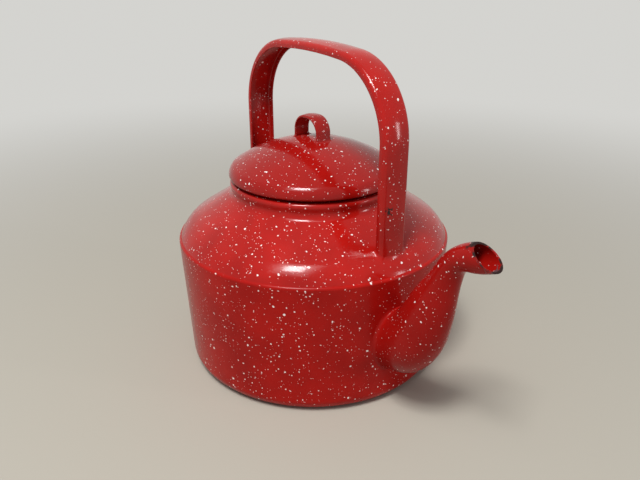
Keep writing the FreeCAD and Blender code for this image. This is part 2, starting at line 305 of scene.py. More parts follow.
# %% Lid dome
LID_GROOVE, LID_OVERHANG = 1.9, 1.2
LID_RISE, LID_CORNER, LID_SIDE = 26.0, 8.0, 2.0
HEM_WIDTH, HEM_BEND = 2.8, 1.6
lid_edge = rim_top + LID_GROOVE
lid_top = lid_edge + LID_RISE
lid_radius = NECK_RADIUS + LID_OVERHANG
hub = Vector((lid_radius - LID_CORNER, lid_edge + LID_SIDE))
drop = hub.y - lid_top
dome_radius = (LID_CORNER ** 2 - hub.x ** 2 - drop ** 2) / (2 * (drop + LID_CORNER))
join = math.atan2(drop + dome_radius, hub.x)
crown_reach = dome_radius * math.tan((math.pi / 2 - join) / 2)
side_height = hub.y + LID_CORNER * math.tan(join / 2)
lid = bent_line("lid_dome_skin", [
    (0, 0, lid_top, 0),
    (crown_reach, 0, lid_top, dome_radius),
    (lid_radius, 0, side_height, LID_CORNER),
    (lid_radius, 0, lid_edge, HEM_BEND),
    (lid_radius - HEM_WIDTH, 0, lid_edge, 0),
])
spin_round(lid)
thicken(lid)
smooth(lid)
report(lid)

# %% [markdown]
# Inside the dome sits a stepped ring: its flange lies on the hem, its step rests on the neck's rim and its
# collar keeps the lid from sliding off. It only shows when the lid is lifted. Its drawn line is the
# underside, so the faces are turned down before the sheet grows upwards from them.

# %% Lid ring
SEAT_GAP = 0.3
RING_DEPTH, RING_BEND = 9.0, 1.2
COLLAR_CLEARANCE = 1.2
collar_radius = NECK_RADIUS - RIM_WIDTH - COLLAR_CLEARANCE
seat = rim_top + SEAT_GAP
step_radius = lid_radius - HEM_WIDTH - RING_BEND
lid_ring = bent_line("lid_seat_ring", [
    (lid_radius - HEM_BEND, 0, lid_edge + SHEET, 0),
    (step_radius, 0, lid_edge + SHEET, RING_BEND),
    (step_radius, 0, seat, RING_BEND),
    (collar_radius, 0, seat, RING_BEND),
    (collar_radius, 0, seat - RING_DEPTH, 0),
])
spin_round(lid_ring, inward=True)
thicken(lid_ring)
smooth(lid_ring)
report(lid_ring)

# %% [markdown]
# The spout is welded from two pressed halves and the enamel hides the joint, so it is one skin here. Ovals
# are set along the middle line and bridged. The line has two bends and a straight rise, and the ovals swell
# low down and narrow to the neck. A Subdivision Surface then makes the flow between them smooth.

# %% Spout middle line
LOWER_BEND, UPPER_BEND = 38.0, 20.0
FOOT_SLOPE, RISE_SLOPE, MOUTH_SLOPE = 5.0, 68.0, 17.0
RISE, MOUTH_REACH, LONGEST_MOUTH = 49.0, 12.4, 60.0
SPOUT_ROOT = 8.6
wall_lean = POT_TOP_RADIUS - POT_BASE_RADIUS
wall_at_foot = POT_BASE_RADIUS + wall_lean * SPOUT_FOOT_HEIGHT / POT_HEIGHT
lower_arc = math.radians(RISE_SLOPE - FOOT_SLOPE) * LOWER_BEND
upper_arc = math.radians(RISE_SLOPE - MOUTH_SLOPE) * UPPER_BEND
mouth_station = lower_arc + RISE + upper_arc + MOUTH_REACH
line_parts = ((LOWER_BEND, RISE_SLOPE, RISE), (-UPPER_BEND, MOUTH_SLOPE, LONGEST_MOUTH))


def spout_place(length):
    """Point and slope of the middle line, a length along it from its root inside the wall."""
    spot = Vector((wall_at_foot - SPOUT_ROOT, 0, SPOUT_FOOT_HEIGHT))
    slope = math.radians(FOOT_SLOPE)
    for radius, next_slope, straight in line_parts:
        arc = abs((math.radians(next_slope) - slope) * radius)
        turned = min(max(length, 0.0), arc)
        new_slope = slope + turned / radius
        ahead = math.sin(new_slope) - math.sin(slope)
        upward = math.cos(slope) - math.cos(new_slope)
        spot = spot + radius * Vector((ahead, 0, upward))
        slope = new_slope
        length -= turned
        run = min(max(length, 0.0), straight)
        spot = spot + run * Vector((math.cos(slope), 0, math.sin(slope)))
        length -= run
    return spot, slope


print("middle line to the mouth:", round(mouth_station, 1), "mm")

# %% [markdown]
# Eight ovals carry the swell and the taper, the last of them past the mouth. Between them a cubic through
# neighbouring sizes gives the others, so that the rings lie close enough for the subdivision to follow them.

# %% Spout sizes
MOUTH_SWELL, MOUTH_SPARE = 6, 8
# Length along the middle line, half width, half depth
spout_ovals = [
    (0.0, 14.8, 19.5),
    (lower_arc * 0.40, 16.4, 21.4),
    (lower_arc * 0.85, 15.6, 18.4),
    (lower_arc + RISE * 0.36, 12.0, 15.2),
    (lower_arc + RISE * 0.82, 8.8, 9.6),
    (lower_arc + RISE + upper_arc * 0.55, 7.5, 7.4),
    (mouth_station - MOUTH_SWELL, 7.8, 8.7),
    (mouth_station + MOUTH_SPARE, 7.3, 7.0),
]


def oval_at(length):
    """Half width and half depth of the spout, by a cubic through the two sizes on each side."""
    last = len(spout_ovals) - 2
    index = max(i for i in range(last + 1) if spout_ovals[i][0] <= length)
    start, end = spout_ovals[index], spout_ovals[index + 1]
    before = spout_ovals[max(index - 1, 0)]
    after = spout_ovals[min(index + 2, last + 1)]
    span = end[0] - start[0]
    share = (length - start[0]) / span
    sizes = []
    for axis in (1, 2):
        lean_in = (end[axis] - before[axis]) / (end[0] - before[0]) * span
        lean_out = (after[axis] - start[axis]) / (after[0] - start[0]) * span
        sizes.append(
            (2 * share ** 3 - 3 * share ** 2 + 1) * start[axis]
            + (share ** 3 - 2 * share ** 2 + share) * lean_in
            + (3 * share ** 2 - 2 * share ** 3) * end[axis]
            + (share ** 3 - share ** 2) * lean_out
        )
    return sizes


print("oval half way:", [round(size, 1) for size in oval_at(mouth_station / 2)], "mm")

# %% [markdown]
# One ring of the spout is a circle of vertices, stretched to an oval between a place on the lower outline
# and a place on the upper one. A Subdivision Surface pulls its rings inwards, so each is drawn larger by
# the share that it will lose.

# %% Spout rings
RING_POINTS = 32
HULL_GAIN = 3 / (2 + math.cos(math.tau / RING_POINTS))


def outline_spot(station, side):
    """Point of the spout's lower (side -1) or upper (side 1) outline in the middle plane."""
    spot, slope = spout_place(station)
    return spot + Vector((-math.sin(slope), 0, math.cos(slope))) * oval_at(station)[1] * side


def add_ring(low_station, high_station, growth=0.0):
    """Add one oval to the mesh in edit mode, stretched between the lower and the upper outline."""
    low, high = outline_spot(low_station, -1), outline_spot(high_station, 1)
    centre, upward = (low + high) / 2, high - low
    half_depth = upward.length / 2 + growth
    half_width = (oval_at(low_station)[0] + oval_at(high_station)[0]) / 2 + growth
    bpy.ops.mesh.primitive_circle_add(
        vertices=RING_POINTS, radius=half_depth * HULL_GAIN * MM,
        location=centre * MM, rotation=(0, math.pi / 2 - math.atan2(-upward.x, upward.z), 0),
    )
    bpy.ops.transform.resize(value=(1, half_width / half_depth, 1), center_override=centre * MM)


print("rings are drawn larger by", round((HULL_GAIN - 1) * 100, 2), "percent")

# %% [markdown]
# At the foot the ovals turn step by step from the wall's own plane until they are square to the middle line,
# and their lower ends run ahead. The first two are larger than the tube. They will be pressed onto the wall,
# so that the subdivision draws the concave sweep that a thick coat of enamel leaves at such a joint.

# %% Spout skin
FOOT_SWEEP, SECOND_SHARE = 2.2, 0.3
FOOT_LOW, FOOT_HIGH, FOOT_END = 4.0, 27.0, 46.0
HIGH_EASE = 1.5
FOOT_RINGS, TUBE_RINGS = 8, 14
clear_selection()
bpy.ops.mesh.primitive_plane_add(size=MM, location=(0, 0, 0))
spout = bpy.context.object
spout.name = "kettle_spout"
bpy.ops.object.mode_set(mode="EDIT")
bpy.ops.mesh.delete(type="VERT")
add_ring(FOOT_LOW, FOOT_HIGH, FOOT_SWEEP)
add_ring(FOOT_LOW, FOOT_HIGH, FOOT_SWEEP * SECOND_SHARE)
for number in range(1, FOOT_RINGS):
    share = number / FOOT_RINGS
    low_station = FOOT_LOW + (FOOT_END - FOOT_LOW) * share
    high_station = FOOT_HIGH + (FOOT_END - FOOT_HIGH) * share ** HIGH_EASE
    add_ring(low_station, high_station)
for number in range(TUBE_RINGS + 1):
    station = FOOT_END + (mouth_station + MOUTH_SPARE - FOOT_END) * number / TUBE_RINGS
    add_ring(station, station)
bpy.ops.object.mode_set(mode="OBJECT")
ring_count = len(spout.data.vertices) // RING_POINTS
print(ring_count, "rings of", RING_POINTS, "points")

# %% [markdown]
# Neighbouring rings are bridged two by two, which leaves a clean grid of four-sided faces for the
# subdivision. The two lowest rings are then pressed onto the pot with a Shrinkwrap: the first lies on the
# wall and the second hovers just off it. A Boolean would cut a sharp corner there instead.

# %% Bridge the rings
HOVER_SHARE = 0.22
for ring in range(ring_count - 1):
    first, last = ring * RING_POINTS, (ring + 2) * RING_POINTS
    bpy.ops.object.mode_set(mode="EDIT")
    bpy.ops.mesh.select_mode(type="EDGE")
    bpy.ops.mesh.select_all(action="DESELECT")
    bpy.ops.object.mode_set(mode="OBJECT")
    for edge in spout.data.edges:
        a, b = edge.vertices
        same_ring = a // RING_POINTS == b // RING_POINTS
        edge.select = same_ring and first <= a < last
    bpy.ops.object.mode_set(mode="EDIT")
    bpy.ops.mesh.bridge_edge_loops()
    bpy.ops.object.mode_set(mode="OBJECT")
for ring, group in enumerate(("on_wall", "off_wall")):
    members = range(ring * RING_POINTS, (ring + 1) * RING_POINTS)
    spout.vertex_groups.new(name=group).add(members, 1.0, "REPLACE")
    apply_modifier(
        spout, "SHRINKWRAP", target=pot, vertex_group=group, wrap_method="PROJECT",
        use_project_x=True, use_positive_direction=True, use_negative_direction=True,
        offset=ring * FOOT_SWEEP * HOVER_SHARE * MM, cull_face="BACK",
    )
sheet = spout.vertex_groups.new(name="sheet")
sheet.add(range(2 * RING_POINTS, len(spout.data.vertices)), 1.0, "REPLACE")
report(spout)

# %% [markdown]
# After the subdivision the skin gets its thickness, and one bisect cuts the mouth aslant, low at the tip, so
# that it pours without dripping. The two cut loops are bridged to a flat lip and its edges are bevelled
# round.

# %% Spout mouth
MOUTH_CUT = math.radians(-32.5)
LIP_ROUND = 0.55
bpy.ops.object.mode_set(mode="EDIT")
bpy.ops.mesh.select_all(action="SELECT")
bpy.ops.mesh.normals_make_consistent(inside=False)
bpy.ops.object.mode_set(mode="OBJECT")
apply_modifier(spout, "SUBSURF", levels=2, render_levels=2)
thicken(spout, "sheet")
mouth_place = spout_place(mouth_station)[0] * MM
mouth_normal = Vector((-math.sin(MOUTH_CUT), 0, math.cos(MOUTH_CUT)))
bpy.ops.object.mode_set(mode="EDIT")
bpy.ops.mesh.select_all(action="SELECT")
bpy.ops.mesh.bisect(plane_co=mouth_place, plane_no=mouth_normal, clear_outer=True, use_fill=False)
bpy.ops.mesh.bridge_edge_loops()
bpy.ops.object.mode_set(mode="OBJECT")
soften_edges(spout, LIP_ROUND)
smooth(spout)
report(spout)

# %% [markdown]
# The handle is a strap with its edges turned in, bent to a flat-topped arch. Half of it is modelled: the
# section is drawn at the top, spun round the crown's centre and then round the corner's, and drawn straight
# down as a leg. A Mirror will give the other half. Its height leaves room for a hand above the lid's loop.

# %% Handle strap
LOOP_HEIGHT = 15.2
HAND_ROOM = 42.5
HANDLE_WIDTH, HANDLE_DEPTH = 19.8, 6.1
HANDLE_CROWN, HANDLE_CROWN_BEND, HANDLE_EDGE_BEND = 1.5, 28.0, 3.2
HANDLE_CORNER, HANDLE_SPAN = 50.5, 81.5
TOP_LEAN = math.radians(5.3)
CROWN_STEPS, CORNER_STEPS = 3, 24
LEG_STEPS, LEG_STEP = 5, 10.0
handle_top = lid_top + LOOP_HEIGHT + HAND_ROOM + HANDLE_DEPTH
crown_radius = HANDLE_CORNER + (HANDLE_SPAN - HANDLE_CORNER) / math.sin(TOP_LEAN)
crown_centre = Vector((0, 0, handle_top - crown_radius)) * MM
crown_end = Vector((math.sin(TOP_LEAN), 0, math.cos(TOP_LEAN)))
corner_centre = crown_centre + crown_end * (crown_radius - HANDLE_CORNER) * MM


def strap_section(name, width, depth, crown, crown_bend, edge_bend, top):
    """Draw a strap's section across the kettle, in the plane x = 0."""
    half = width / 2
    return bent_line(name, [
        (0, half, top - depth, 0),
        (0, half, top - crown, edge_bend),
        (0, 0, top, crown_bend),
        (0, -half, top - crown, edge_bend),
        (0, -half, top - depth, 0),
    ])


def swing(centre, angle, steps):
    """Spin the selected section down towards +X."""
    bpy.ops.mesh.spin(steps=steps, angle=-angle, center=centre, axis=(0, 1, 0))


handle = strap_section(
    "kettle_handle", HANDLE_WIDTH, HANDLE_DEPTH,
    HANDLE_CROWN, HANDLE_CROWN_BEND, HANDLE_EDGE_BEND, handle_top,
)
bpy.ops.object.mode_set(mode="EDIT")
bpy.ops.mesh.select_all(action="SELECT")
swing(crown_centre, TOP_LEAN, CROWN_STEPS)
swing(corner_centre, math.pi / 2 - TOP_LEAN, CORNER_STEPS)
for step in range(LEG_STEPS):
    bpy.ops.mesh.extrude_region_move(TRANSFORM_OT_translate={"value": (0, 0, -LEG_STEP * MM)})
report(handle)

# %% [markdown]
# A coat of enamel is thickest in corners, so a strap's feet widen in a round sweep where they meet the
# surface below. The leg's end is drawn on in rings that grow as a quarter circle does, and each ring is
# noted in a vertex group, because the mirror and the pressing come later.

# %% Widening a foot
SWEEP_STEPS = 4
RING_DROP = 0.4
MIRROR_TOUCH = 1e-5
sweep_turns = [math.pi / 2 * step / SWEEP_STEPS for step in range(SWEEP_STEPS + 1)]


def flare_leg(piece, middle, half_depth, half_width, sweep):
    """Draw the selected end of a leg on in widening rings, each noted in a vertex group."""
    before = 0.0
    for step, turn in enumerate(sweep_turns):
        growth = sweep * (1 - math.cos(turn))
        if step:
            bpy.ops.mesh.extrude_region_move(TRANSFORM_OT_translate={"value": (0, 0, -RING_DROP * MM)})
            deeper = (half_depth + growth) / (half_depth + before)
            wider = (half_width + growth) / (half_width + before)
            bpy.ops.transform.resize(value=(deeper, wider, 1), center_override=middle)
        before = growth
        piece.vertex_groups.new(name=f"foot_{step}")
        piece.vertex_groups.active_index = step
        bpy.ops.object.vertex_group_assign()
    bpy.ops.object.mode_set(mode="OBJECT")


def mirror_half(piece):
    """Complete a half arch and merge it in the middle."""
    apply_modifier(
        piece, "MIRROR", use_axis=(True, False, False), use_clip=True, merge_threshold=MIRROR_TOUCH,
    )
    bpy.ops.object.mode_set(mode="EDIT")
    bpy.ops.mesh.select_all(action="SELECT")
    bpy.ops.mesh.remove_doubles(threshold=TOUCH)
    bpy.ops.mesh.normals_make_consistent(inside=False)
    bpy.ops.object.mode_set(mode="OBJECT")


print("a foot widens in", SWEEP_STEPS, "steps")

# %% [markdown]
# Pressed onto the surface with a Shrinkwrap and raised again by what is left of the quarter circle, ring by
# ring, the feet follow whatever slope lies underneath. An extruded ring also keeps the groups of the rings
# before it, so the outer rings move along each time until their own turn comes last.

# %% Pressing the feet
def press_feet(piece, target, sweep):
    """Lay the rings of both feet on a surface below them and raise each to its place in the sweep."""
    for step, turn in enumerate(sweep_turns):
        apply_modifier(
            piece, "SHRINKWRAP", target=target, vertex_group=f"foot_{step}", wrap_method="PROJECT",
            use_project_z=True, use_positive_direction=False, use_negative_direction=True, cull_face="BACK",
        )
        piece.vertex_groups.active_index = step
        bpy.ops.object.mode_set(mode="EDIT")
        bpy.ops.mesh.select_all(action="DESELECT")
        bpy.ops.object.vertex_group_select()
        bpy.ops.transform.translate(value=(0, 0, sweep * (1 - math.sin(turn))))
        bpy.ops.object.mode_set(mode="OBJECT")


HANDLE_SWEEP = 2.4 * MM
HANDLE_FORWARD = 6.1
leg_middle = Vector((HANDLE_SPAN - HANDLE_DEPTH / 2, 0, 0)) * MM
flare_leg(handle, leg_middle, HANDLE_DEPTH / 2 * MM, HANDLE_WIDTH / 2 * MM, HANDLE_SWEEP)
mirror_half(handle)
select_vertices(handle, lambda place: True)
bpy.ops.transform.translate(value=(HANDLE_FORWARD * MM, 0, 0))
bpy.ops.object.mode_set(mode="OBJECT")
press_feet(handle, shoulder, HANDLE_SWEEP)
thicken(handle)
soften_edges(handle)
smooth(handle)
report(handle)

# %% [markdown]
# The lid's loop is the same kind of strap, small and nearly flat, on legs that splay a little. It is made in
# the same way and pressed onto the dome. The lid lies loosely turned by a few degrees, so the loop is turned
# with it.

# %% Lid loop
LOOP_WIDTH, LOOP_DEPTH = 11.6, 2.0
LOOP_CROWN, LOOP_CROWN_BEND, LOOP_EDGE_BEND = 0.8, 14.0, 1.0
LOOP_SPAN, LOOP_CORNER, LOOP_STEPS = 28.0, 11.9, 14
LOOP_SPLAY = math.radians(3.0)
LOOP_BACK, LID_TURN = 1.3, math.radians(3.2)
LOOP_SWEEP = 1.8 * MM
LOOP_EDGE_ROUND = 0.3
loop_top = lid_top + LOOP_HEIGHT
corner_x = LOOP_SPAN / 2 - LOOP_HEIGHT * math.tan(LOOP_SPLAY)
flat_half = corner_x - LOOP_CORNER * math.tan((math.pi / 2 - LOOP_SPLAY) / 2)
loop = strap_section(
    "lid_loop_strap", LOOP_WIDTH, LOOP_DEPTH, LOOP_CROWN, LOOP_CROWN_BEND, LOOP_EDGE_BEND, loop_top,
)
bpy.ops.object.mode_set(mode="EDIT")
bpy.ops.mesh.select_all(action="SELECT")
bpy.ops.mesh.extrude_region_move(TRANSFORM_OT_translate={"value": (flat_half * MM, 0, 0)})
swing(Vector((flat_half, 0, loop_top - LOOP_CORNER)) * MM, math.pi / 2 - LOOP_SPLAY, LOOP_STEPS)
loop_end = flat_half + LOOP_CORNER * math.cos(LOOP_SPLAY)
loop_middle = Vector((loop_end - LOOP_DEPTH / 2, 0, 0)) * MM
flare_leg(loop, loop_middle, LOOP_DEPTH / 2 * MM, LOOP_WIDTH / 2 * MM, LOOP_SWEEP)
mirror_half(loop)
select_vertices(loop, lambda place: True)
bpy.ops.transform.translate(value=(-LOOP_BACK * MM, 0, 0))
bpy.ops.transform.rotate(value=-LID_TURN, orient_axis="Z", center_override=(0, 0, 0))
bpy.ops.object.mode_set(mode="OBJECT")
press_feet(loop, lid, LOOP_SWEEP)
thicken(loop)
soften_edges(loop, LOOP_EDGE_ROUND)
smooth(loop)
report(loop)

# %% [markdown]
# The finish is made of shader nodes. Two helpers keep the recipes short: one makes an empty node group with
# named sockets, and the other adds one step of arithmetic and returns its result.

# %% Node helpers
def new_group(name, inputs, outputs):
    """Make a node group; inputs are (label, kind, value) and outputs are (label, kind)."""
    group = bpy.data.node_groups.new(name, "ShaderNodeTree")
    for label, kind, value in inputs:
        socket = group.interface.new_socket(label, in_out="INPUT", socket_type=kind)
        if value is not None:
            socket.default_value = value
    for label, kind in outputs:
        group.interface.new_socket(label, in_out="OUTPUT", socket_type=kind)
    return group, group.nodes.new("NodeGroupInput"), group.nodes.new("NodeGroupOutput")


def math_node(tree, operation, a, b=None, c=None, clamp=False):
    """Add one Math node; each operand is a socket or a plain number."""
    node = tree.nodes.new("ShaderNodeMath")
    node.operation = operation
    node.use_clamp = clamp
    for socket, value in zip(node.inputs, (a, b, c)):
        if value is None:
            continue
        if isinstance(value, (int, float)):
            socket.default_value = value
        else:
            tree.links.new(value, socket)
    return node.outputs[0]


print("node groups so far:", len(bpy.data.node_groups))

# %% [markdown]
# The finish is red enamel with white specks. The specks are drops of another glaze: dots of several sizes,
# some run together, denser in some places than in others. A Voronoi texture gives a point in every cell of
# space, and a dot appears where the distance to it is less than a size that is drawn for that cell. Being
# three-dimensional, it flows over all the pieces alike and needs no unwrapping.

# %% Speck group
SMALLEST_DOT = 0.25
specks, specks_in, specks_out = new_group(
    "enamel_specks",
    [
        ("Vector", "NodeSocketVector", None),
        ("Cell Scale", "NodeSocketFloat", 200.0),
        ("Share", "NodeSocketFloat", 0.4),
        ("Size", "NodeSocketFloat", 0.25),
        ("Softness", "NodeSocketFloat", 0.05),
    ],
    [("Mask", "NodeSocketFloat")],
)
cells = specks.nodes.new("ShaderNodeTexVoronoi")
cells.voronoi_dimensions = "3D"
specks.links.new(specks_in.outputs["Vector"], cells.inputs["Vector"])
specks.links.new(specks_in.outputs["Cell Scale"], cells.inputs["Scale"])
cell_colour = specks.nodes.new("ShaderNodeSeparateColor")
specks.links.new(cells.outputs["Color"], cell_colour.inputs["Color"])
drawn = math_node(specks, "LESS_THAN", cell_colour.outputs["Red"], specks_in.outputs["Share"])
spread = math_node(specks, "MULTIPLY_ADD", cell_colour.outputs["Green"], 1 - SMALLEST_DOT, SMALLEST_DOT)
full_size = math_node(specks, "MULTIPLY", spread, specks_in.outputs["Size"])
dot_size = math_node(specks, "MULTIPLY", full_size, drawn)
inside = math_node(specks, "SUBTRACT", dot_size, cells.outputs["Distance"])
mask = math_node(specks, "DIVIDE", inside, specks_in.outputs["Softness"], clamp=True)
specks.links.new(mask, specks_out.inputs["Mask"])
print("group", specks.name, "gives", [item.name for item in specks.interface.items_tree])

# %% [markdown]
# Where enamel is knocked or worn thin the dark ground coat shows: along the spout's lip and in one small chip
# on the handle. At the back of the lip the same dark patch also spreads inside as painted shade of the
# throat.
# Each is a distance from some place with a ragged limit, so one group serves them all.

# %% Wear and painted shade group
RAGGEDNESS, RAGGED_DETAIL, SOFT_SHARE = 4.0, 3.0, 0.5
wear, wear_in, wear_out = new_group(
    "wear_and_shade_patch",
    [
        ("Vector", "NodeSocketVector", None),
        ("Distance", "NodeSocketFloat", 0.0),
        ("Width", "NodeSocketFloat", 0.001),
        ("Grain", "NodeSocketFloat", 400.0),
        ("Bareness", "NodeSocketFloat", 0.8),
    ],
    [("Mask", "NodeSocketFloat")],
)
ragged = wear.nodes.new("ShaderNodeTexNoise")
ragged.inputs["Detail"].default_value = RAGGED_DETAIL
wear.links.new(wear_in.outputs["Grain"], ragged.inputs["Scale"])
wear.links.new(wear_in.outputs["Vector"], ragged.inputs["Vector"])
uneven = math_node(wear, "MULTIPLY_ADD", ragged.outputs["Fac"], RAGGEDNESS, -RAGGEDNESS / 2)
bared = math_node(wear, "ADD", uneven, wear_in.outputs["Bareness"])
limit = math_node(wear, "MULTIPLY", bared, wear_in.outputs["Width"])
depth = math_node(wear, "SUBTRACT", limit, wear_in.outputs["Distance"])
soft_edge = math_node(wear, "MULTIPLY", wear_in.outputs["Width"], SOFT_SHARE)
bare = math_node(wear, "DIVIDE", depth, soft_edge, clamp=True)
wear.links.new(bare, wear_out.inputs["Mask"])


def distance_from(tree, place, spot, normal=None):
    """Distance of the shaded place from a spot, or from the plane through it."""
    offset = tree.nodes.new("ShaderNodeVectorMath")
    offset.operation = "SUBTRACT"
    tree.links.new(place, offset.inputs[0])
    offset.inputs[1].default_value = spot
    measure = tree.nodes.new("ShaderNodeVectorMath")
    tree.links.new(offset.outputs[0], measure.inputs[0])
    if normal is None:
        measure.operation = "LENGTH"
        return measure.outputs["Value"]
    measure.operation = "DOT_PRODUCT"
    measure.inputs[1].default_value = normal
    return math_node(tree, "ABSOLUTE", measure.outputs["Value"])


print("group", wear.name, "gives", [item.name for item in wear.interface.items_tree])

# %% [markdown]
# Four layers of specks lie over one another, from large and rare to fine. The dots are pushed out of round by
# adding fine noise to the coordinates first, as drops of glaze are never true circles.

# %% Layers of specks
# Cells per metre, share of cells with a dot, dot size in cells, soft edge in cells
SPECK_LAYERS = (
    (200, 0.60, 0.18, 0.05),
    (310, 0.58, 0.20, 0.07),
    (480, 0.46, 0.23, 0.10),
    (800, 0.22, 0.25, 0.15),
)
WOBBLE_SCALE, WOBBLE_REACH = 700.0, 0.0012


def add_noise(tree, place, scale, detail):
    """Add a Noise texture on the given coordinates."""
    noise = tree.nodes.new("ShaderNodeTexNoise")
    noise.inputs["Scale"].default_value = scale
    noise.inputs["Detail"].default_value = detail
    tree.links.new(place, noise.inputs["Vector"])
    return noise


def speck_mask(tree, place, crowd):
    """All layers of specks as one mask."""
    wobble = add_noise(tree, place, WOBBLE_SCALE, 1.0)
    shift = tree.nodes.new("ShaderNodeVectorMath")
    shift.operation = "MULTIPLY_ADD"
    tree.links.new(wobble.outputs["Color"], shift.inputs[0])
    shift.inputs[1].default_value = (WOBBLE_REACH, WOBBLE_REACH, WOBBLE_REACH)
    tree.links.new(place, shift.inputs[2])
    mask = 0.0
    for scale, share, size, softness in SPECK_LAYERS:
        layer = tree.nodes.new("ShaderNodeGroup")
        layer.node_tree = specks
        tree.links.new(shift.outputs[0], layer.inputs["Vector"])
        layer.inputs["Cell Scale"].default_value = scale
        layer.inputs["Size"].default_value = size
        layer.inputs["Softness"].default_value = softness
        tree.links.new(math_node(tree, "MULTIPLY", crowd, share), layer.inputs["Share"])
        mask = math_node(tree, "MAXIMUM", layer.outputs["Mask"], mask)
    return mask


for scale, share, size, softness in SPECK_LAYERS:
    print("specks up to", round(2 * size / scale / MM, 2), "mm across")

# %% [markdown]
# A slow noise crowds the specks together in some places and leaves others almost bare. They were scattered
# from above, so they lie closer together on the shoulder and the lid. Both only change the share of cells
# that hold a dot, and the dots keep their sizes.

# %% Crowding of the specks
CLUSTER_SCALE, CLUSTER_GAIN = 100.0, 2.6
FALL_GAIN, FALL_LEVEL = 2.0, -0.22


def speck_crowd(tree, place, scatter):
    """How closely the specks lie: in clusters, and closer higher up."""
    height = tree.nodes.new("ShaderNodeSeparateXYZ")
    tree.links.new(place, height.inputs[0])
    fallen = math_node(tree, "MULTIPLY_ADD", height.outputs["Z"], FALL_GAIN, FALL_LEVEL)
    clusters = add_noise(tree, place, CLUSTER_SCALE, 1.0).outputs["Fac"]
    crowd = math_node(tree, "MULTIPLY_ADD", clusters, CLUSTER_GAIN, fallen)
    return math_node(tree, "MULTIPLY", crowd, scatter, clamp=True)


print("specks crowd together over about", round(1 / CLUSTER_SCALE / MM), "mm")

# %% [markdown]
# Enamel is glass fused onto steel. It mirrors what is around it, has a faint orange peel where it was dipped,
# and its red is a little deeper where the coat is thick. A picture of the finish would have to be unwrapped
# and would blur from near by, so it is mixed from noise in space.

# %% Enamel recipe
RED = (0.46, 0.0080, 0.0050, 1)
DEEP_RED = (0.23, 0.0040, 0.0028, 1)
SPECK_WHITE = (0.86, 0.76, 0.73, 1)
DRIFT_SCALE, DRIFT_DETAIL, DRIFT_ROUGHNESS = 38.0, 2.0, 0.08
WORN_ROUGHNESS = 0.20
PEEL_SCALE, PEEL_STRENGTH, PEEL_HEIGHT, SPECK_RAISE = 120.0, 0.25, 0.0003, 0.15


def mix_colour(tree, factor, first, second):
    """Mix two colours, each a socket or a plain value."""
    mix = tree.nodes.new("ShaderNodeMix")
    mix.data_type = "RGBA"
    tree.links.new(factor, mix.inputs["Factor"])
    for socket, value in ((mix.inputs["A"], first), (mix.inputs["B"], second)):
        if isinstance(value, tuple):
            socket.default_value = value
        else:
            tree.links.new(value, socket)
    return mix.outputs["Result"]


def enamel_material(name, red_lightness, scatter, gloss, dullness, colour_patches=()):
    """Red enamel with specks; each patch in the list gives spot, normal or None, width, grain, bareness and
    colour.
    """
    material = bpy.data.materials.new(name)
    material.use_nodes = True
    tree = material.node_tree
    shader = tree.nodes["Principled BSDF"]
    place = tree.nodes.new("ShaderNodeTexCoord").outputs["Object"]
    drift = add_noise(tree, place, DRIFT_SCALE, DRIFT_DETAIL).outputs["Fac"]
    dots = speck_mask(tree, place, speck_crowd(tree, place, scatter))
    thin = math_node(tree, "MULTIPLY", drift, red_lightness, clamp=True)
    colour = mix_colour(tree, dots, mix_colour(tree, thin, DEEP_RED, RED), SPECK_WHITE)
    roughness = math_node(tree, "MULTIPLY_ADD", drift, DRIFT_ROUGHNESS, dullness)
    # Patches of worn ground coat are mixed over the red; at the back of the spout's lip the dark patch is
    # also painted shade of the throat.
    for spot, normal, width, grain, bareness, patch_colour in colour_patches:
        patch = tree.nodes.new("ShaderNodeGroup")
        patch.node_tree = wear
        tree.links.new(place, patch.inputs["Vector"])
        tree.links.new(distance_from(tree, place, spot, normal), patch.inputs["Distance"])
        patch.inputs["Width"].default_value = width
        patch.inputs["Grain"].default_value = grain
        patch.inputs["Bareness"].default_value = bareness
        colour = mix_colour(tree, patch.outputs["Mask"], colour, patch_colour)
        roughness = math_node(tree, "MULTIPLY_ADD", patch.outputs["Mask"], WORN_ROUGHNESS, roughness)
    tree.links.new(colour, shader.inputs["Base Color"])
    tree.links.new(roughness, shader.inputs["Roughness"])
    shader.inputs["Specular IOR Level"].default_value = gloss
    bump = tree.nodes.new("ShaderNodeBump")
    bump.inputs["Strength"].default_value = PEEL_STRENGTH
    bump.inputs["Distance"].default_value = PEEL_HEIGHT
    peel = add_noise(tree, place, PEEL_SCALE, 1.0).outputs["Fac"]
    tree.links.new(math_node(tree, "MULTIPLY_ADD", dots, SPECK_RAISE, peel), bump.inputs["Height"])
    tree.links.new(bump.outputs["Normal"], shader.inputs["Normal"])
    print(material.name, "has", len(tree.nodes), "nodes")
    return material


print("the red deepens from", RED[:3], "to", DEEP_RED[:3])
